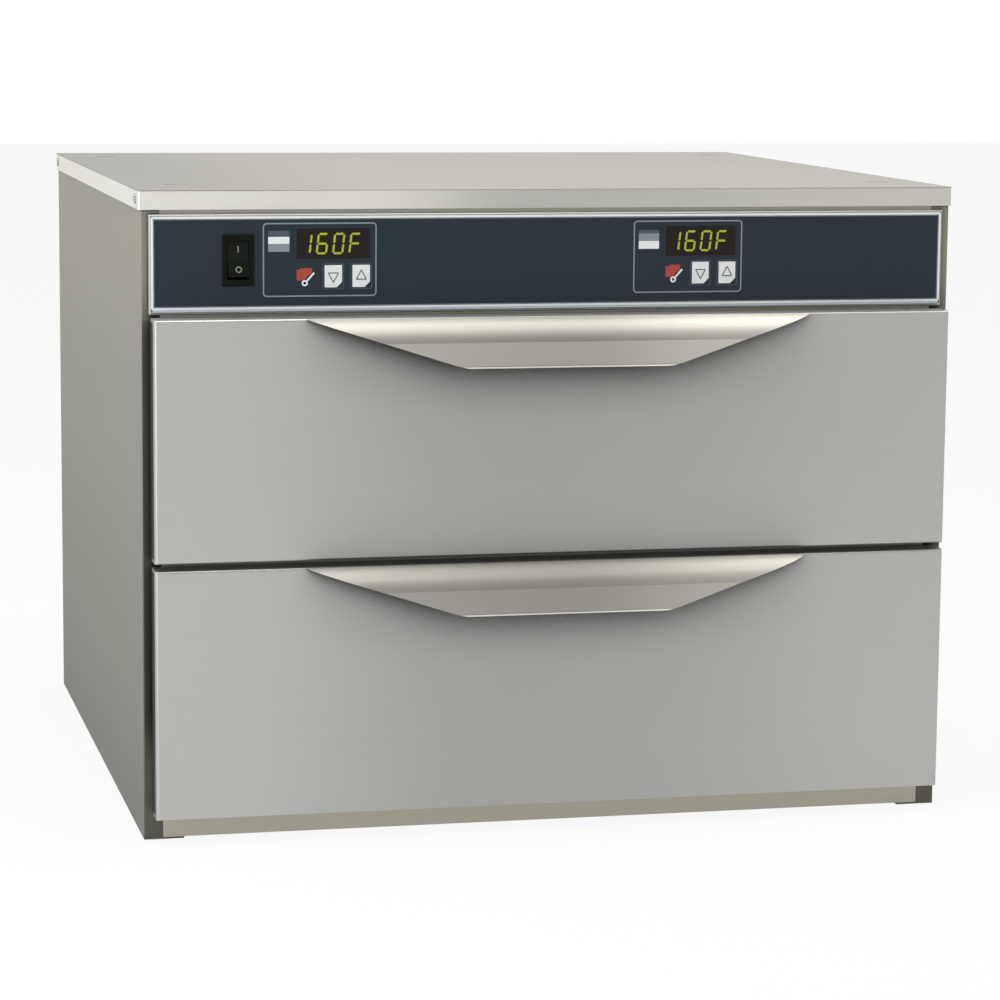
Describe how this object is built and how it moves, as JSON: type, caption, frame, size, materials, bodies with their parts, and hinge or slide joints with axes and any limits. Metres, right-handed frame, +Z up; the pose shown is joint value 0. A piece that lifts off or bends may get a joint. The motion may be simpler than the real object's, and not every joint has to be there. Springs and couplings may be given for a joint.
{
  "type": "countertop warming drawer",
  "caption": "Countertop food warmer in brushed stainless steel: stacked drawers on telescopic slides, each carrying a food pan, under a fascia with a rocker switch and controls.",
  "frame": {"origin": "middle of the bounding box, on the surface it stands on", "axes": "+X to the right seen from the front, +Y from the front to the back, +Z up; the drawers open along -Y"},
  "size_m": [0.6274, 0.6657, 0.484],
  "materials": {
    "casing_steel": "brushed stainless sheet",
    "front_steel": "brushed stainless sheet, horizontal grain",
    "liner_steel": "mill-finish stainless sheet",
    "pan_steel": "satin drawn stainless",
    "slide_steel": "zinc-plated steel",
    "ball_steel": "polished balls in a steel cage",
    "screw_steel": "stainless screws",
    "glass_wool": "pressed mineral wool",
    "cable_jacket": "silicone jacket",
    "overlay_film": "printed polyester film",
    "switch_plastic": "moulded nylon",
    "rocker_plastic": "moulded nylon",
    "key_plastic": "printed key caps",
    "display_window": "smoked acrylic",
    "lamp_lens": "tinted acrylic",
    "controller_plastic": "moulded case",
    "transformer_core": "varnished laminations",
    "terminal_plastic": "moulded block",
    "gland_plastic": "moulded nylon",
    "plug_plastic": "moulded plug",
    "gasket_rubber": "silicone seal",
    "probe_steel": "stainless tube",
    "thermostat_aluminium": "drawn cup"
  },
  "bodies": {
    "cabinet": {"top_cover": "casing_steel", "left_side_panel": "casing_steel", "right_side_panel": "casing_steel", "back_panel": "casing_steel", "base_pan": "casing_steel", "front_frame": "casing_steel", "bottom_front_rail": "casing_steel", "component_deck": "casing_steel", "control_fascia": "front_steel", "control_overlay": "overlay_film", "cover_hole_plugs": "plug_plastic", "cabinet_screws": "screw_steel", "side_insulation_pads": "glass_wool", "level_insulation_pads": "glass_wool", "rear_insulation_pad": "glass_wool", "temperature_sensors": "probe_steel", "limit_thermostats": "thermostat_aluminium", "power_switch_housing": "switch_plastic", "display_windows": "display_window", "indicator_lenses": "lamp_lens", "transformer": "transformer_core", "terminal_block": "terminal_plastic", "cord_gland": "gland_plastic", "left_controller": "controller_plastic", "right_controller": "controller_plastic", "upper_cavity_liner": "liner_steel", "upper_heating_cable": "cable_jacket", "upper_outer_slides": "slide_steel", "lower_cavity_liner": "liner_steel", "lower_heating_cable": "cable_jacket", "lower_outer_slides": "slide_steel"},
    "upper_drawer": {"upper_front_shell": "front_steel", "upper_front_inner_panel": "liner_steel", "upper_front_insulation": "glass_wool", "upper_front_gasket": "gasket_rubber", "upper_handle": "front_steel", "upper_pan_carrier": "liner_steel", "upper_pan": "pan_steel", "upper_inner_slides": "slide_steel", "upper_drawer_screws": "screw_steel"},
    "upper_middle_slides": {"upper_middle_slides": "slide_steel"},
    "upper_outer_ball_cages": {"upper_outer_ball_cages": "ball_steel"},
    "upper_inner_ball_cages": {"upper_inner_ball_cages": "ball_steel"},
    "lower_drawer": {"lower_front_shell": "front_steel", "lower_front_inner_panel": "liner_steel", "lower_front_insulation": "glass_wool", "lower_front_gasket": "gasket_rubber", "lower_handle": "front_steel", "lower_pan_carrier": "liner_steel", "lower_pan": "pan_steel", "lower_inner_slides": "slide_steel", "lower_drawer_screws": "screw_steel"},
    "lower_middle_slides": {"lower_middle_slides": "slide_steel"},
    "lower_outer_ball_cages": {"lower_outer_ball_cages": "ball_steel"},
    "lower_inner_ball_cages": {"lower_inner_ball_cages": "ball_steel"},
    "power_rocker": {"power_switch_rocker": "rocker_plastic"},
    "left_down_key": {"left_down_key": "key_plastic"},
    "left_up_key": {"left_up_key": "key_plastic"},
    "right_down_key": {"right_down_key": "key_plastic"},
    "right_up_key": {"right_up_key": "key_plastic"}
  },
  "joints": [
    {"name": "upper_drawer_slide", "type": "slide", "parent": "cabinet", "child": "upper_drawer", "axis": [0, -1, 0], "range_m": [0, 0.42]},
    {"name": "upper_middle_slides_travel", "type": "slide", "parent": "cabinet", "child": "upper_middle_slides", "axis": [0, -1, 0], "range_m": [0, 0.21]},
    {"name": "upper_outer_ball_cages_travel", "type": "slide", "parent": "cabinet", "child": "upper_outer_ball_cages", "axis": [0, -1, 0], "range_m": [0, 0.105]},
    {"name": "upper_inner_ball_cages_travel", "type": "slide", "parent": "cabinet", "child": "upper_inner_ball_cages", "axis": [0, -1, 0], "range_m": [0, 0.315]},
    {"name": "lower_drawer_slide", "type": "slide", "parent": "cabinet", "child": "lower_drawer", "axis": [0, -1, 0], "range_m": [0, 0.42]},
    {"name": "lower_middle_slides_travel", "type": "slide", "parent": "cabinet", "child": "lower_middle_slides", "axis": [0, -1, 0], "range_m": [0, 0.21]},
    {"name": "lower_outer_ball_cages_travel", "type": "slide", "parent": "cabinet", "child": "lower_outer_ball_cages", "axis": [0, -1, 0], "range_m": [0, 0.105]},
    {"name": "lower_inner_ball_cages_travel", "type": "slide", "parent": "cabinet", "child": "lower_inner_ball_cages", "axis": [0, -1, 0], "range_m": [0, 0.315]},
    {"name": "power_rocker_tilt", "type": "hinge", "parent": "cabinet", "child": "power_rocker", "pos_m": [-0.2398, -0.28095, 0.43245], "axis": [1, 0, 0], "range_deg": [0, 22]},
    {"name": "left_down_key_press", "type": "slide", "parent": "cabinet", "child": "left_down_key", "axis": [0, 1, 0], "range_m": [0, 0.0008], "stiffness_N_per_m": 1500},
    {"name": "left_up_key_press", "type": "slide", "parent": "cabinet", "child": "left_up_key", "axis": [0, 1, 0], "range_m": [0, 0.0008], "stiffness_N_per_m": 1500},
    {"name": "right_down_key_press", "type": "slide", "parent": "cabinet", "child": "right_down_key", "axis": [0, 1, 0], "range_m": [0, 0.0008], "stiffness_N_per_m": 1500},
    {"name": "right_up_key_press", "type": "slide", "parent": "cabinet", "child": "right_up_key", "axis": [0, 1, 0], "range_m": [0, 0.0008], "stiffness_N_per_m": 1500}
  ],
  "couplings": [
    {"joint": "upper_middle_slides_travel", "follows": "upper_drawer_slide", "ratio": 0.5},
    {"joint": "upper_outer_ball_cages_travel", "follows": "upper_drawer_slide", "ratio": 0.25},
    {"joint": "upper_inner_ball_cages_travel", "follows": "upper_drawer_slide", "ratio": 0.75},
    {"joint": "lower_middle_slides_travel", "follows": "lower_drawer_slide", "ratio": 0.5},
    {"joint": "lower_outer_ball_cages_travel", "follows": "lower_drawer_slide", "ratio": 0.25},
    {"joint": "lower_inner_ball_cages_travel", "follows": "lower_drawer_slide", "ratio": 0.75}
  ]
}
